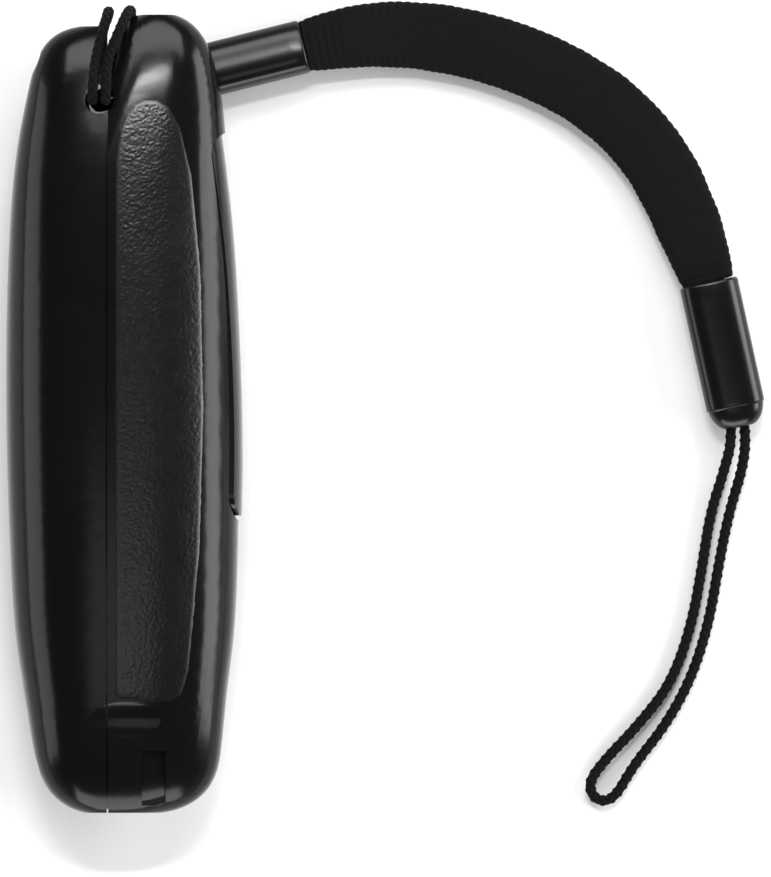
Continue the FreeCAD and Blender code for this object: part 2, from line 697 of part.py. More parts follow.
CASE_LOOP_ROUTE = (
    (9.3, 39.6, 2.1), (6.0, 38.8, 1.8), (2.2, 37.4, 0.8), (-2.8, 36.2, 0.75),
    (-2.5, 36.2, 5.6), (-2.05, 35.5, 10.6), (-2.05, 35.2, 13.9), (-2.0, 37.0, 14.95), (-1.9, 39.9, 13.1),
    (-0.6, 43.0, 12.7), (0.5, 45.55, 10.4), (0.8, 45.55, 5.6), (0.2, 42.3, 3.2),
    (-0.4, 38.6, 2.1), (-0.9, 35.0, 2.1), (-1.9, 32.9, 1.6), (-3.9, 32.9, 1.6), (-4.9, 35.0, 2.1),
    (-4.4, 38.6, 2.6), (-3.0, 42.6, 3.9), (-1.9, 44.9, 5.8), (-1.7, 45.7, 9.6),
    (-2.3, 43.4, 12.3), (-3.2, 39.9, 13.1), (-3.45, 37.0, 14.95), (-3.5, 35.2, 13.9), (-3.5, 35.5, 10.6),
    (-3.1, 34.8, 5.6), (-2.8, 34.8, 0.75), (2.2, 35.9, 0.8), (5.8, 37.2, 2.1), (9.6, 38.3, 2.4),
)
STRAP_ROUTE = (
    (20.3, 41.65, 2.4), (25.3, 42.8, 2.0), (31.3, 43.1, 1.5), (37.2, 42.4, 1.4),
    (43.0, 40.9, 1.4), (48.5, 38.7, 1.4), (53.5, 35.8, 1.4), (57.6, 32.2, 1.4), (60.9, 27.9, 1.4),
    (63.3, 22.8, 1.6), (65.0, 18.3, 2.0), (66.15, 14.8, 2.25),
)
FREE_LOOP_ROUTE = (
    (68.5, 0.8, 2.2), (68.85, -2.7, 1.9), (67.9, -6.4, 1.2), (66.3, -11.4, 0.75), (65.4, -17.4, 0.7),
    (64.2, -24.0, 0.7), (61.9, -30.6, 0.7), (57.9, -35.6, 0.7), (54.6, -39.0, 0.7), (52.45, -41.8, 0.7),
    (53.25, -43.85, 0.7), (55.35, -43.85, 0.7), (57.6, -39.9, 0.7), (61.2, -35.4, 0.7),
    (64.2, -30.0, 0.7), (66.2, -23.6, 0.7), (67.3, -17.0, 0.7), (68.5, -11.0, 0.75), (70.0, -6.2, 1.2),
    (70.4, -2.4, 1.9), (69.9, 1.1, 2.2),
)


# ---------------------------------------------------------------- assembly

case_sleeve = sleeve_place(CASE_CAP_MOUTH, CASE_CAP_TIP, CASE_CAP_ROLL)
free_sleeve = sleeve_place(FREE_CAP_MOUTH, FREE_CAP_TIP, 0)
nodes = [
    back_shell(),
    front_shell(),
    thumb_button(),
    striker_tip(),
    hinge_pin(),
    click_tongue(),
    tongue_keeper(),
    keeper_screws(),
    case_screws(),
    end_cap("case", case_sleeve),
    end_cap("free", free_sleeve),
    cord_tube("case_loop_cord", CASE_LOOP_ROUTE),
    cord_tube("free_loop_cord", FREE_LOOP_ROUTE),
    webbing("strap_webbing", STRAP_ROUTE, (case_sleeve, free_sleeve)),
    knot("case_cord_knot", case_sleeve, size("case_cap_length") - size("knot_back")),
    knot("free_cord_knot", free_sleeve, size("free_cap_length") - size("knot_back")),
    crimp("case_webbing_crimp", case_sleeve),
    crimp("free_webbing_crimp", free_sleeve),
]

doc.recompute()
for thing in doc.Objects:
    if "Invalid" in thing.State or "Error" in thing.State:
        raise RuntimeError(f"{thing.Name} failed: {thing.State}")
for node in nodes:
    node.Label = node.Name
    if node.Shape.isNull() or not node.Shape.isValid():
        raise RuntimeError(f"{node.Label} has no valid shape")
    node.Shape.exportStep(f"parts/{node.Label}.step")
    print(node.Label, len(node.Shape.Solids), "solids", round(node.Shape.Volume, 1), "mm3")
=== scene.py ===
"""Clicker trainer with a wrist strap: the visible model, in metres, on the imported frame.

+X points to the button, +Y to the strap end of the case, +Z up from the floor.
"""
import json
import math

import bmesh
import bpy
import numpy as np
from mathutils import Matrix, Vector, noise
from mathutils.bvhtree import BVHTree

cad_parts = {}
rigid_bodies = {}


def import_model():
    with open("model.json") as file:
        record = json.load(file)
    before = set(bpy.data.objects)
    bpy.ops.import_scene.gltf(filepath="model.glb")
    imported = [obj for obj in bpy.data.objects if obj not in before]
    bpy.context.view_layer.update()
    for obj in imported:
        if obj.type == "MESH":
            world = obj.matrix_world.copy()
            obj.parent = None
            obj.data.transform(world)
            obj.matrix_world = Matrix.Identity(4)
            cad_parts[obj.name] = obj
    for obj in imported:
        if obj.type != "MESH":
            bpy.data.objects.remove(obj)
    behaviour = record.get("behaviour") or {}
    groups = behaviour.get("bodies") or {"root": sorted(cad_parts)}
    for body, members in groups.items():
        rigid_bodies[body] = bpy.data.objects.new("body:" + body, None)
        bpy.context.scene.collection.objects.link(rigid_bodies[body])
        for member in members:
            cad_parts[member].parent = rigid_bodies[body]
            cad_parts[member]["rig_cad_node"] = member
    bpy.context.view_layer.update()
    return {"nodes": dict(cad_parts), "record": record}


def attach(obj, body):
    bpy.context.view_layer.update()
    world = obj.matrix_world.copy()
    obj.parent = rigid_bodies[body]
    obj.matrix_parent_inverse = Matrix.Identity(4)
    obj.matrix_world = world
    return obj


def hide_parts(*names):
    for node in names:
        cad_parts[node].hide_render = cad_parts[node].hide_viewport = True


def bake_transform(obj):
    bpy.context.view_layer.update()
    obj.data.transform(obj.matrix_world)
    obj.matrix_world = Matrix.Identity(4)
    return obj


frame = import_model()
MM = 0.001
MIDDLE = 8  # height of the case's middle plane, in millimetres
CASE_MIDDLE = MIDDLE * MM


def metres(point):
    return Vector(point) * MM


# ---------------------------------------------------------------- camera, floor and light

CAMERA_DISTANCE = 2.0
VIEW_MIDDLE = (0.0295, -0.0028)
VIEW_HEIGHT = 0.0991  # at the case's middle plane
SENSOR_WIDTH = 36.0
CLIP_END = 10.0
FLOOR_SIZE = 12.0
FLOOR_PLACE = (0.03, 0.0, -0.0002)  # a hair below the object
LIGHT_TARGET = (0.02, 0.0, 0.0)
# The world's strength by height: To Min near the horizon, To Max overhead.
WORLD_FADE = (("From Min", 0.04), ("From Max", 0.4), ("To Min", 0.62), ("To Max", 0.03))
# Name, place, width and height in metres, and power in watts.
SOFTBOXES = (
    ("strip_high", (0.02, 0.46, 0.80), (0.26, 0.025), 2.6),
    ("crown_soft", (0.0, -0.19, 0.90), (0.30, 0.30), 0.35),
    ("side_right", (0.85, 0.15, 0.34), (0.9, 0.45), 11.0),
    ("back_high", (0.02, 0.70, 0.62), (0.9, 0.30), 6.0),
    ("side_left", (-0.85, 0.0, 0.30), (0.9, 0.40), 3.5),
    ("front_low", (0.02, -0.85, 0.30), (0.9, 0.40), 6.5),
)


def top_camera():
    """Looks straight down from far off, so that the view hardly shows perspective."""
    data = bpy.data.cameras.new("camera")
    data.sensor_width = SENSOR_WIDTH
    data.lens = data.sensor_width * (CAMERA_DISTANCE - CASE_MIDDLE) / VIEW_HEIGHT
    data.clip_end = CLIP_END
    camera = bpy.data.objects.new("camera", data)
    camera.location = (*VIEW_MIDDLE, CAMERA_DISTANCE)
    bpy.context.scene.collection.objects.link(camera)
    bpy.context.scene.camera = camera


def softbox(name, place, size, power):
    """A rectangular lamp that faces the object."""
    data = bpy.data.lights.new(name, "AREA")
    data.shape = "RECTANGLE"
    data.size, data.size_y = size
    data.energy = power
    lamp = bpy.data.objects.new(name, data)
    lamp.location = place
    lamp.rotation_mode = "QUATERNION"
    lamp.rotation_quaternion = (Vector(LIGHT_TARGET) - lamp.location).to_track_quat("-Z", "Y")
    bpy.context.scene.collection.objects.link(lamp)


def studio():
    """A pale floor under soft boxes that stand round it, with nothing bright straight overhead."""
    world = bpy.data.worlds.new("studio")
    world.use_nodes = True
    tree = world.node_tree
    rise = tree.nodes.new("ShaderNodeSeparateXYZ")
    tree.links.new(tree.nodes.new("ShaderNodeTexCoord").outputs["Generated"], rise.inputs[0])
    fade = tree.nodes.new("ShaderNodeMapRange")
    for socket, value in WORLD_FADE:
        fade.inputs[socket].default_value = value
    tree.links.new(rise.outputs["Z"], fade.inputs["Value"])
    tree.nodes["Background"].inputs["Color"].default_value = (1.0, 1.0, 1.0, 1.0)
    tree.links.new(fade.outputs[0], tree.nodes["Background"].inputs["Strength"])
    bpy.context.scene.world = world
    for box in SOFTBOXES:
        softbox(*box)
    bpy.ops.mesh.primitive_plane_add(size=FLOOR_SIZE, location=FLOOR_PLACE)
    floor = bpy.context.object
    floor.name = "floor"
    pale = bpy.data.materials.new("floor_pale")
    pale.use_nodes = True
    shader = pale.node_tree.nodes["Principled BSDF"]
    shader.inputs["Base Color"].default_value = (0.92, 0.92, 0.92, 1.0)
    shader.inputs["Roughness"].default_value = 0.9
    shader.inputs["Specular IOR Level"].default_value = 0.1
    floor.data.materials.append(pale)
    bpy.context.scene.view_settings.view_transform = "Standard"


top_camera()
studio()

# ---------------------------------------------------------------- materials


def add(tree, kind, settings=None, **inputs):
    """A node of a kind, with its inputs set to numbers or linked from other nodes' outputs.

    An input goes by its name, or by its place as in0, in1 and so on.
    """
    node = tree.nodes.new("ShaderNode" + kind)
    for key, value in (settings or {}).items():
        setattr(node, key, value)
    for key, value in inputs.items():
        by_place = key.startswith("in")
        socket = node.inputs[int(key[2:]) if by_place else key.replace("_", " ")]
        if isinstance(value, bpy.types.NodeSocket):
            tree.links.new(value, socket)
        else:
            socket.default_value = value
    return node


def per_mm(tree, count):
    """The object's own coordinates, scaled so that one unit is 1/count millimetre."""
    place = add(tree, "TexCoord").outputs["Object"]
    scaled = add(tree, "VectorMath", {"operation": "SCALE"}, in0=place, Scale=count / MM)
    return scaled.outputs[0]


def clouds(tree, count, **settings):
    """Noise of about count features in a millimetre."""
    return add(tree, "TexNoise", Vector=per_mm(tree, count), Scale=1.0, **settings).outputs[0]


def spread(tree, value, low, high):
    """A 0 to 1 value, spread from low to high."""
    return add(tree, "MapRange", Value=value, To_Min=low, To_Max=high).outputs[0]


def start_material(name, colour, **sockets):
    made = bpy.data.materials.new(name)
    made.use_nodes = True
    shader = made.node_tree.nodes["Principled BSDF"]
    shader.inputs["Base Color"].default_value = (*colour, 1.0)
    for key, value in sockets.items():
        shader.inputs[key.replace("_", " ")].default_value = value
    return made, made.node_tree, shader


def link(tree, output, shader, socket):
    tree.links.new(output, shader.inputs[socket])


def two_tone(tree, shader, value, dark, light):
    """The base colour runs from dark to light with a value."""
    ramp = add(tree, "ValToRGB", Fac=value)
    ramp.color_ramp.elements[0].color = (*dark, 1.0)
    ramp.color_ramp.elements[1].color = (*light, 1.0)
    link(tree, ramp.outputs[0], shader, "Base Color")


def raised(tree, shader, height, strength, depth):
    """Bumps of a depth in millimetres."""
    bump = add(tree, "Bump", Height=height, Strength=strength, Distance=depth * MM)
    link(tree, bump.outputs[0], shader, "Normal")


def moulded(name, dark, light, rough, grain, grain_depth, gloss=0.45):
    """Moulded plastic: a faint flow in its colour, handling marks in its gloss and a fine grain."""
    made, tree, shader = start_material(name, dark, Specular_IOR_Level=gloss)
    flow = clouds(tree, 0.12, Detail=3.0)
    two_tone(tree, shader, flow, dark, light)
    marks = clouds(tree, 0.5, Detail=6.0, Roughness=0.7)
    link(tree, spread(tree, marks, *rough), shader, "Roughness")
    fine = clouds(tree, grain, Detail=2.0)
    raised(tree, shader, fine, 0.6, grain_depth)
    return made


def metal(name, dark, light, rough, stretch):
    """Metal with drawn or rolled lines along Y."""
    made, tree, shader = start_material(name, dark, Metallic=1.0)
    lines = add(tree, "VectorMath", {"operation": "MULTIPLY"},
                in0=per_mm(tree, 1.0), in1=(8.0, stretch, 8.0))
    drawn = add(tree, "TexNoise", Vector=lines.outputs[0], Scale=1.0, Detail=4.0).outputs[0]
    two_tone(tree, shader, drawn, dark, light)
    link(tree, spread(tree, drawn, *rough), shader, "Roughness")
    raised(tree, shader, drawn, 0.3, 0.01)
    return made


def yarn(name, dark, light, sheen):
    """Dyed yarn: dull, with single fibres and a soft sheen."""
    made, tree, shader = start_material(name, dark, Specular_IOR_Level=0.10, Sheen_Weight=sheen)
    fibres = clouds(tree, 9.0, Detail=5.0, Roughness=0.75)
    two_tone(tree, shader, fibres, dark, light)
    link(tree, spread(tree, fibres, 0.75, 0.98), shader, "Roughness")
    raised(tree, shader, fibres, 0.8, 0.03)
    return made


BLACK = (0.0032, 0.0032, 0.0038)
GREY_BLACK = (0.0052, 0.0052, 0.0062)
LOOKS = {
    "case_plastic": moulded(
        "case_plastic_look", BLACK, GREY_BLACK,
        rough=(0.12, 0.21), grain=7.0, grain_depth=0.002, gloss=0.20),
    "button_plastic": moulded(
        "button_plastic_look", BLACK, GREY_BLACK,
        rough=(0.13, 0.24), grain=7.0, grain_depth=0.002, gloss=0.28),
    "sleeve_plastic": moulded(
        "sleeve_plastic_look", BLACK, GREY_BLACK,
        rough=(0.18, 0.28), grain=5.0, grain_depth=0.004, gloss=0.30),
    "striker_nylon": moulded(
        "striker_nylon_look", (0.62, 0.60, 0.54), (0.72, 0.70, 0.64),
        rough=(0.35, 0.5), grain=4.0, grain_depth=0.01),
    "plain_steel": metal(
        "plain_steel_look", (0.42, 0.43, 0.45), (0.58, 0.58, 0.60),
        rough=(0.22, 0.42), stretch=1.5),
    "spring_steel": metal(
        "spring_steel_look", (0.36, 0.39, 0.46), (0.50, 0.53, 0.60),
        rough=(0.16, 0.34), stretch=0.4),
    "black_steel": metal(
        "black_steel_look", (0.02, 0.02, 0.022), (0.05, 0.05, 0.055),
        rough=(0.35, 0.55), stretch=1.5),
    "thin_cord": yarn(
        "thin_cord_look", (0.0025, 0.0025, 0.0028), (0.006, 0.006, 0.0064), sheen=0.01),
    "webbing": yarn(
        "webbing_look", (0.0026, 0.0026, 0.003), (0.0062, 0.0062, 0.0068), sheen=0.012),
}
GRIP_LOOK = moulded(
    "grip_look", BLACK, GREY_BLACK,
    rough=(0.20, 0.34), grain=9.0, grain_depth=0.008, gloss=0.50)
NODE_SLOT = {entry["node"]: entry["material_slot"] for entry in frame["record"]["subparts"]}


def paint(thing, look_name):
    """Gives a piece one material."""
    thing.data.materials.clear()
    thing.data.materials.append(LOOKS[look_name])


for node_name, node in frame["nodes"].items():
    paint(node, NODE_SLOT[node_name])

# ---------------------------------------------------------------- mesh helpers


def mesh_object(name, verts, faces, look_name, body="case"):
    """A smooth piece with one look, which rides on a body."""
    data = bpy.data.meshes.new(name)
    data.from_pydata([tuple(v) for v in verts], [], faces)
    data.validate()
    made = bpy.data.objects.new(name, data)
    bpy.context.scene.collection.objects.link(made)
    for face in data.polygons:
        face.use_smooth = True
    paint(made, look_name)
    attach(made, body)
    return made


def circle(count):
    """The angles of points spaced evenly round a circle."""
    return [2 * math.pi * k / count for k in range(count)]


def squared(value, power):
    """A sine or cosine pushed outwards, which makes a superellipse of a circle."""
    return math.copysign(abs(value) ** (2 / power), value)


def skin_rings(verts, faces, rings, capped=True):
    """Joins equal closed rings of points into a tube, closed at both ends if it is capped."""
    count = len(rings[0])
    first = len(verts)
    last = first + (len(rings) - 1) * count
    for ring in rings:
        verts.extend(ring)
    for i in range(len(rings) - 1):
        for k in range(count):
            a = first + i * count + k
            b = first + i * count + (k + 1) % count
            faces.append((a, b, b + count, a + count))
    if capped:
        faces.append(tuple(first + k for k in reversed(range(count))))
        faces.append(tuple(last + k for k in range(count)))


def centreline(name, route, resolution):
    """The smooth line of a cord along its route's points, as close points."""
    data = bpy.data.curves.new(name, "CURVE")
    data.dimensions = "3D"
    data.resolution_u = resolution
    spline = data.splines.new("NURBS")
    spline.points.add(len(route) - 1)
    for point, place in zip(spline.points, route):
        point.co = (*metres(place), 1.0)
    spline.order_u = 3
    spline.use_endpoint_u = True
    curve = bpy.data.objects.new(name, data)
    line = [v.co.copy() for v in bpy.data.meshes.new_from_object(curve).vertices]
    bpy.data.objects.remove(curve)
    return line


def along(line):
    """For each point of a line: the length up to it, and the direction there."""
    lengths, directions = [0.0], []
    for i, point in enumerate(line):
        if i:
            lengths.append(lengths[-1] + (point - line[i - 1]).length)
        ahead, behind = line[min(i + 1, len(line) - 1)], line[max(i - 1, 0)]
        directions.append((ahead - behind).normalized())
    return lengths, directions


# ---------------------------------------------------------------- braided cords

CORD_DIAMETER = 1.3 * MM
STRANDS_EACH_WAY = 4
BRAID_TURN = 1.6 / MM  # radians a strand turns round the cord per metre of cord
STRAND_RADIUS = 0.21 * MM
STRAND_FLATNESS = 1.35  # a strand's width over its thickness
WEAVE_DEPTH = 0.07 * MM  # how far a strand rises and dips where strands cross
CORE_GAP = 0.05 * MM  # from the middle of the strands in to the core's skin
STRAND_SIDES, CORE_SIDES = 6, 8


def braid(name, route, resolution):
    """Two sets of strands that turn opposite ways round the cord, over and under each other."""
    line = centreline(name + "_line", route, resolution)
    lengths, directions = along(line)
    across = directions[0].orthogonal().normalized()
    frames = []
    for direction in directions:
        across = (across - direction * across.dot(direction)).normalized()
        frames.append((across.copy(), direction.cross(across)))
    middle = CORD_DIAMETER / 2 - STRAND_RADIUS - WEAVE_DEPTH
    verts, faces = [], []
    for way in (1, -1):
        for start in circle(STRANDS_EACH_WAY):
            rings = []
            for point, length, direction, (u, v) in zip(line, lengths, directions, frames):
                turn = way * BRAID_TURN * length + start
                out = u * math.cos(turn) + v * math.sin(turn)
                side = direction.cross(out)
                over = math.cos(STRANDS_EACH_WAY * BRAID_TURN * length)
                radius = middle + way * WEAVE_DEPTH * over
                centre = point + out * radius
                slope = (direction + side * (way * BRAID_TURN * radius)).normalized()
                wide = slope.cross(out)
                rings.append([centre + out * (STRAND_RADIUS * math.cos(a))
                              + wide * (STRAND_FLATNESS * STRAND_RADIUS * math.sin(a))
                              for a in circle(STRAND_SIDES)])
            skin_rings(verts, faces, rings)
    core = [[point + (u * math.cos(a) + v * math.sin(a)) * (middle - CORE_GAP)
             for a in circle(CORE_SIDES)]
            for point, (u, v) in zip(line, frames)]
    skin_rings(verts, faces, core)
    return mesh_object(name, verts, faces, "thin_cord"), line, lengths[-1]


# The routes repeat those of the CAD model, in millimetres.
CASE_LOOP_ROUTE = (
    (9.3, 39.6, 2.1), (6.0, 38.8, 1.8), (2.2, 37.4, 0.8), (-2.8, 36.2, 0.75),
    (-2.5, 36.2, 5.6), (-2.05, 35.5, 10.6), (-2.05, 35.2, 13.9), (-2.0, 37.0, 14.95),
    (-1.9, 39.9, 13.1), (-0.6, 43.0, 12.7), (0.5, 45.55, 10.4), (0.8, 45.55, 5.6),
    (0.2, 42.3, 3.2), (-0.4, 38.6, 2.1), (-0.9, 35.0, 2.1), (-1.9, 32.9, 1.6),
    (-3.9, 32.9, 1.6), (-4.9, 35.0, 2.1), (-4.4, 38.6, 2.6), (-3.0, 42.6, 3.9),
    (-1.9, 44.9, 5.8), (-1.7, 45.7, 9.6), (-2.3, 43.4, 12.3), (-3.2, 39.9, 13.1),
    (-3.45, 37.0, 14.95), (-3.5, 35.2, 13.9), (-3.5, 35.5, 10.6), (-3.1, 34.8, 5.6),
    (-2.8, 34.8, 0.75), (2.2, 35.9, 0.8), (5.8, 37.2, 2.1), (9.6, 38.3, 2.4),
)
FREE_LOOP_ROUTE = (
    (68.5, 0.8, 2.2), (68.85, -2.7, 1.9), (67.9, -6.4, 1.2), (66.3, -11.4, 0.75),
    (65.4, -17.4, 0.7), (64.2, -24.0, 0.7), (61.9, -30.6, 0.7), (57.9, -35.6, 0.7),
    (54.6, -39.0, 0.7), (52.45, -41.8, 0.7), (53.25, -43.85, 0.7), (55.35, -43.85, 0.7),
    (57.6, -39.9, 0.7), (61.2, -35.4, 0.7), (64.2, -30.0, 0.7), (66.2, -23.6, 0.7),
    (67.3, -17.0, 0.7), (68.5, -11.0, 0.75), (70.0, -6.2, 1.2), (70.4, -2.4, 1.9),
    (69.9, 1.1, 2.2),
)
STRAP_ROUTE = (
    (20.3, 41.65, 2.4), (25.3, 42.8, 2.0), (31.3, 43.1, 1.5), (37.2, 42.4, 1.4),
    (43.0, 40.9, 1.4), (48.5, 38.7, 1.4), (53.5, 35.8, 1.4), (57.6, 32.2, 1.4),
    (60.9, 27.9, 1.4), (63.3, 22.8, 1.6), (65.0, 18.3, 2.0), (66.15, 14.8, 2.25),
)
CASE_CAP = {"mouth": (20.3, 41.65, 2.4), "tip": (7.1, 38.35, 2.2), "roll": 15.0,
            "length": 13.6, "wide": 6.1, "thick": 4.1}
FREE_CAP = {"mouth": (66.1, 14.9, 2.25), "tip": (69.7, -1.5, 2.2), "roll": 0.0,
            "length": 16.8, "wide": 6.7, "thick": 4.4}

case_loop, case_loop_line, case_loop_length = braid(
    "case_loop_braid", CASE_LOOP_ROUTE, resolution=44)
free_loop, free_loop_line, free_loop_length = braid(
    "free_loop_braid", FREE_LOOP_ROUTE, resolution=58)
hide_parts("case_loop_cord")
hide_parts("free_loop_cord")

# ---------------------------------------------------------------- sleeves

SLEEVE_SIDES = 72
SLEEVE_POWER = 2.6  # of its superellipse: 2 is an ellipse, more is squarer
SLEEVE_WALL = 0.6
# Each ring's height from the mouth and its inset, from inside the mouth out to the body.
MOUTH_RINGS = (
    (3.2, SLEEVE_WALL), (1.0, SLEEVE_WALL), (0.15, SLEEVE_WALL - 0.05),
    (0.0, SLEEVE_WALL - 0.25), (0.0, 0.32), (0.04, 0.16), (0.16, 0.05), (0.35, 0.0),
)
BODY_RINGS = (0.12, 0.25, 0.4, 0.55, 0.7)  # shares of the length
# Each ring's distance back from the tip, and its share of the full width.
TIP_RINGS = (
    (2.9, 1.0), (2.55, 0.998), (2.42, 0.985), (2.36, 0.955), (2.2, 0.945), (1.8, 0.915),
    (1.35, 0.865), (0.95, 0.80), (0.6, 0.72), (0.32, 0.63), (0.12, 0.54), (0.02, 0.44),
    (0.02, 0.2),
)


def sleeve_axes(cap):
    """The middle of the mouth, and the sleeve's long, wide and thick directions."""
    mouth, tip = metres(cap["mouth"]), metres(cap["tip"])
    ahead = (tip - mouth).normalized()
    level = ahead.cross(Vector((0, 0, 1))).normalized()
    wide = Matrix.Rotation(math.radians(cap["roll"]), 3, ahead) @ level
    return mouth, ahead, wide, ahead.cross(wide)


def oval(cap, height, wide, thick):
    """A superellipse across a sleeve, at a height along it in millimetres."""
    mouth, ahead, side, up = sleeve_axes(cap)
    ring = []
    for angle in circle(SLEEVE_SIDES):
        a = wide / 2 * squared(math.cos(angle), SLEEVE_POWER)
        b = thick / 2 * squared(math.sin(angle), SLEEVE_POWER)
        ring.append(mouth + (ahead * height + side * a + up * b) * MM)
    return ring


def sleeve(name, cap):
    """A moulded sleeve: rolled mouth, straight body, a small step and a blunt rounded tip."""
    length, wide, thick = cap["length"], cap["wide"], cap["thick"]
    rings = []
    for height, inset in MOUTH_RINGS:
        rings.append(oval(cap, height, wide - 2 * inset, thick - 2 * inset))
    for share in BODY_RINGS:
        rings.append(oval(cap, share * length, wide, thick))
    for back, share in TIP_RINGS:
        rings.append(oval(cap, length - back, wide * share, thick * share))
    verts, faces = [], []
    skin_rings(verts, faces, rings)
    return mesh_object(name, verts, faces, "sleeve_plastic")


case_sleeve = sleeve("case_sleeve", CASE_CAP)
free_sleeve = sleeve("free_sleeve", FREE_CAP)
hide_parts("case_end_cap")
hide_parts("free_end_cap")

# ---------------------------------------------------------------- knots inside the sleeves

KNOT_BACK = 3.9  # from the sleeve's tip to the knot's middle
KNOT_POINTS = 96
KNOT_SIDES = 12
KNOT_RADIUS = 0.42 * MM  # of its cord
KNOT_RIBS, KNOT_RIB_SHARE = 24, 0.06


def knot(name, cap, height):
    """A pulled-tight trefoil of cord."""
    mouth, ahead, side, up = sleeve_axes(cap)
    middle = mouth + ahead * (height * MM)
    points = []
    for t in circle(KNOT_POINTS):
        a = 0.42 * (math.sin(t) + 2 * math.sin(2 * t))
        b = 0.30 * (math.cos(t) - 2 * math.cos(2 * t))
        c = -0.45 * math.sin(3 * t)
        points.append(middle + (side * a + ahead * b + up * c) * MM)
    rings = []
    for i, point in enumerate(points):
        direction = (points[(i + 1) % KNOT_POINTS] - points[i - 1]).normalized()
        u = direction.cross(up).normalized()
        v = direction.cross(u)
        rib = math.cos(KNOT_RIBS * 2 * math.pi * i / KNOT_POINTS)
        ribbed = KNOT_RADIUS * (1 + KNOT_RIB_SHARE * rib)
        rings.append([point + (u * math.cos(a) + v * math.sin(a)) * ribbed
                      for a in circle(KNOT_SIDES)])
    rings.append(rings[0])
    verts, faces = [], []
    skin_rings(verts, faces, rings, capped=False)
    return mesh_object(name, verts, faces, "thin_cord")


case_knot = knot("case_knot", CASE_CAP, CASE_CAP["length"] - KNOT_BACK)
free_knot = knot("free_knot", FREE_CAP, FREE_CAP["length"] - KNOT_BACK)
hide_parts("case_cord_knot")
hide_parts("free_cord_knot")

# ---------------------------------------------------------------- webbing

WEB_WIDE, WEB_THICK = 7.8, 2.1
WEB_SIDES = 56
WEB_END_WIDE = 5.6  # where it goes into a sleeve
WIDENS_NEAR, WIDENS_FAR = 0.10, 0.07  # shares of its length, at the case and the free sleeve
THIN_OVER = 0.08  # the share of its length at each end that is a little thinner
EDGE_POWER, FACE_POWER = 5.0, 3.2  # of its squared-off outline
RIB_PITCH = 0.9
RIB_ROUND = 0.6
RIB_HEIGHT, YARN_HEIGHT = 0.09, 0.07
YARN_PITCH = 0.62
EDGE_RIB, EDGE_WANDER, EDGE_UNEVEN = 0.11, 0.10, 0.05  # how far the edge goes in and out


def web_half_width(share):
    """Half the webbing's width: gathered at both sleeves, full in between, in millimetres."""
    near = 1 - math.exp(-share / WIDENS_NEAR)
    far = 1 - math.exp(-(1 - share) / WIDENS_FAR)
    return 0.5 * (WEB_END_WIDE + (WEB_WIDE - WEB_END_WIDE) * near * far)


def web_half_thickness(share):
    """Half the webbing's thickness, in millimetres."""
    from_end = min(share, 1 - share)
    return WEB_THICK / 2 * (0.86 + 0.14 * from_end / THIN_OVER if from_end < THIN_OVER else 1)


def webbing():
    """A flat woven band: cross ribs all along it, and yarns that pass over and under."""
    line = centreline("webbing_line", STRAP_ROUTE, resolution=84)
    lengths, directions = along(line)
    total = lengths[-1]
    rings = []
    for point, length, direction in zip(line, lengths, directions):
        side = direction.cross(Vector((0, 0, 1))).normalized()
        up = side.cross(direction)
        share = length / total
        step = length / MM / RIB_PITCH
        rib = abs(math.cos(math.pi * step)) ** RIB_ROUND
        row = math.floor(step + 0.5)
        wander = EDGE_WANDER * noise.noise(Vector((length / MM * 0.35, 0.0, 3.0)))
        half = web_half_width(share) + EDGE_RIB * (rib - 0.5) + wander
        half += EDGE_UNEVEN * noise.noise(Vector((row * 1.7, 9.0, 0.0)))
        thick = web_half_thickness(share)
        ring = []
        for angle in circle(WEB_SIDES):
            c, s = math.cos(angle), math.sin(angle)
            a = half * squared(c, EDGE_POWER)
            b = thick * squared(s, FACE_POWER)
            yarns = math.cos(math.pi * (a / YARN_PITCH + row)) ** 2
            relief = RIB_HEIGHT * (rib - 0.5) + YARN_HEIGHT * (yarns - 0.5)
            rise = math.copysign(relief * min(1.0, abs(s) * 2), s)
            ring.append(point + (side * a + up * (b + rise)) * MM)
        rings.append(ring)
    verts, faces = [], []
    skin_rings(verts, faces, rings)
    return mesh_object("webbing_band", verts, faces, "webbing"), line, total


band, band_line, band_length = webbing()
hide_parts("strap_webbing")

# ---------------------------------------------------------------- stippled grip areas

# The edge of a grip area in millimetres, from its lower left corner and round by the button.
GRIP_EDGE = (
    (-1.1, -32.2), (-0.4, -32.8), (2.0, -33.0), (5.4, -32.8), (6.8, -32.0),
    (7.7, -29.0), (9.0, -15.5), (9.5, 0.0), (9.15, 16.0), (8.0, 27.0),
    (6.7, 32.6), (5.4, 34.8), (3.9, 35.7), (2.2, 35.8), (0.9, 35.1),
    (-0.2, 33.8), (-0.9, 32.0), (-1.3, 28.0), (-1.35, 0.0), (-1.35, -31.6),
)
GRIP_STEP = 0.13  # the spacing of its grid
GRIP_RISE, GRIP_RAMP = 0.085, 0.8  # how far the skin rises in from its edge, over what width
GRIP_SUNK = 0.05  # how far its edge lies under the shell
GRAIN_FROM, GRAIN_RAMP = 0.5, 0.7  # where the grain starts, and the width it grows over
EVEN_ROUNDS = 60
RAY_START = 20  # from the middle plane, well outside the shell
SHELL_LEAST = 2.0  # a hit nearer to the middle plane isn't the shell's outer face
SHELL_JUMP = 1.0  # nor is one this far from its neighbour
SHELL_STAND_IN = 5  # the height where a row starts with no hit


def smooth_step(t):
    t = min(max(t, 0.0), 1.0)
    return t * t * (3 - 2 * t)


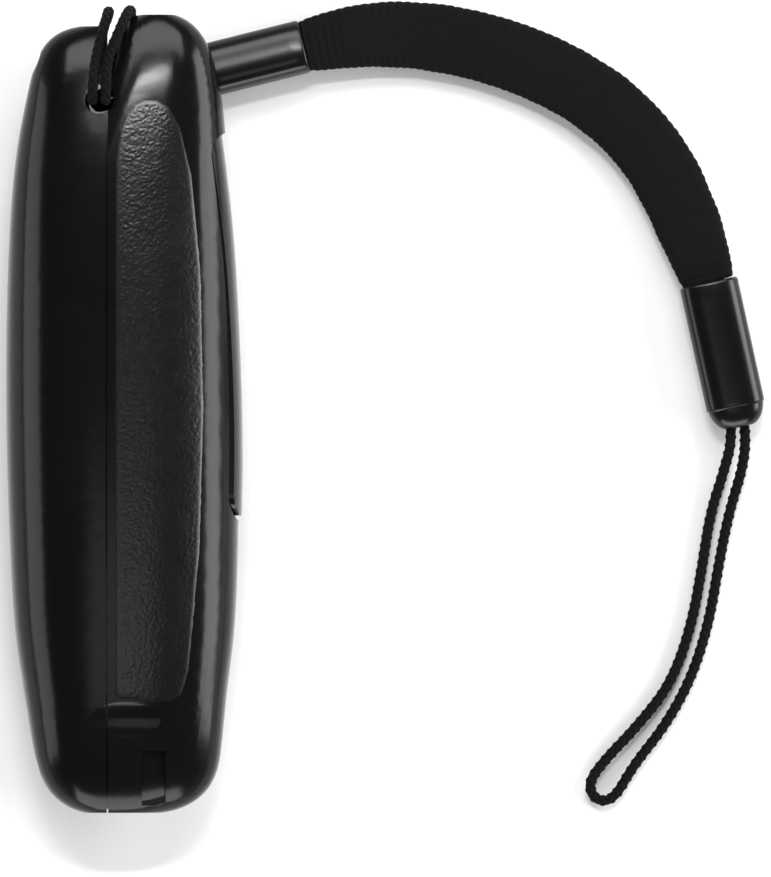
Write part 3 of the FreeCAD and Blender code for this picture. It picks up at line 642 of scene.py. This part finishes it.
def inside_by(x, y):
    """How far a place lies inside the grip area's edge; negative outside."""
    nearest, inside = math.inf, False
    for (ax, ay), (bx, by) in zip(GRIP_EDGE, GRIP_EDGE[1:] + GRIP_EDGE[:1]):
        dx, dy = bx - ax, by - ay
        t = min(max(((x - ax) * dx + (y - ay) * dy) / (dx * dx + dy * dy), 0.0), 1.0)
        nearest = min(nearest, math.hypot(x - ax - t * dx, y - ay - t * dy))
        if (ay > y) != (by > y) and x < ax + (y - ay) / dy * dx:
            inside = not inside
    return nearest if inside else -nearest


def stipple(place):
    """Height of the moulded grain at a place, in millimetres."""
    return 0.008 * noise.noise(place * 6.1) + 0.021 * noise.cell(place * 7.7)


def evened(heights):
    """Heights averaged over about a millimetre round each point of the grid."""
    for _ in range(EVEN_ROUNDS):
        wide = np.pad(heights, 1, mode="reflect", reflect_type="odd")
        heights = (wide[:-2, 1:-1] + wide[2:, 1:-1] + wide[1:-1, :-2] + wide[1:-1, 2:]) / 4
    return heights


def shell_heights(up, xs, ys):
    """The front shell's height over a grid in millimetres, evened out between its facets."""
    shell = frame["nodes"]["front_shell"].data
    tree = BVHTree.FromPolygons([v.co for v in shell.vertices],
                                [p.vertices for p in shell.polygons])
    heights = np.zeros((len(xs), len(ys)))
    for j, y in enumerate(ys):
        last = None
        for i in reversed(range(len(xs))):
            start = metres((xs[i], y, MIDDLE + up * RAY_START))
            hit = tree.ray_cast(start, Vector((0, 0, -up)))[0]
            z = hit.z / MM if hit is not None else None
            if z is not None and (z - MIDDLE) * up > SHELL_LEAST:
                if last is None or abs(z - last) < SHELL_JUMP:
                    last = z
            heights[i, j] = last if last is not None else MIDDLE + SHELL_STAND_IN * up
    even = evened(heights)
    return even + evened(heights - even)


def grid_over(values):
    """Evenly spaced places that cover the span of some values."""
    return np.arange(min(values), max(values) + GRIP_STEP, GRIP_STEP)


def grip_area(name, up):
    """A thin skin of moulded grain on one side of the front shell."""
    xs, ys = (grid_over(values) for values in zip(*GRIP_EDGE))
    heights = shell_heights(up, xs, ys)
    verts, index, faces = [], {}, []
    for i, x in enumerate(xs):
        for j, y in enumerate(ys):
            depth = inside_by(x, y)
            if depth < 0:
                continue
            grown = smooth_step((depth - GRAIN_FROM) / GRAIN_RAMP)
            grain = grown * stipple(Vector((x, y, 5.0 * up)))
            height = GRIP_RISE * smooth_step(depth / GRIP_RAMP) - GRIP_SUNK + grain
            index[i, j] = len(verts)
            verts.append(metres((x, y, heights[i, j] + up * height)))
    for (i, j), first in index.items():
        corners = [index.get(key) for key in ((i + 1, j), (i + 1, j + 1), (i, j + 1))]
        if None not in corners:
            faces.append((first, *corners)[::up])
    return mesh_object(name, verts, faces, "case_plastic")


for side, up in (("near", 1), ("far", -1)):
    skin = grip_area(f"grip_stipple_{side}", up)
    skin.data.materials.clear()
    skin.data.materials.append(GRIP_LOOK)

# ---------------------------------------------------------------- the tongue

TONGUE_SEAT_END, TONGUE_TIP = -22, 13  # Y where it leaves its seat, and Y of its free end


def bending_tongue():
    """The spring steel tongue, cut across at each millimetre between its seat and its free end.

    The striker, which meets it at Y -4, doesn't bend it. There the tongue moves about
    half as far as the striker, so at full press the striker's tip goes through it.
    """
    source = frame["nodes"]["click_tongue"]
    form = bmesh.new()
    form.from_mesh(source.data)
    for y in range(TONGUE_SEAT_END, TONGUE_TIP):
        cut = form.verts[:] + form.edges[:] + form.faces[:]
        bmesh.ops.bisect_plane(form, geom=cut, plane_co=(0, y * MM, 0), plane_no=(0, 1, 0))
    data = bpy.data.meshes.new("tongue_strip")
    form.to_mesh(data)
    form.free()
    made = bpy.data.objects.new("tongue_strip", data)
    bpy.context.scene.collection.objects.link(made)
    paint(made, "spring_steel")
    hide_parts("click_tongue")
    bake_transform(made)


bending_tongue()
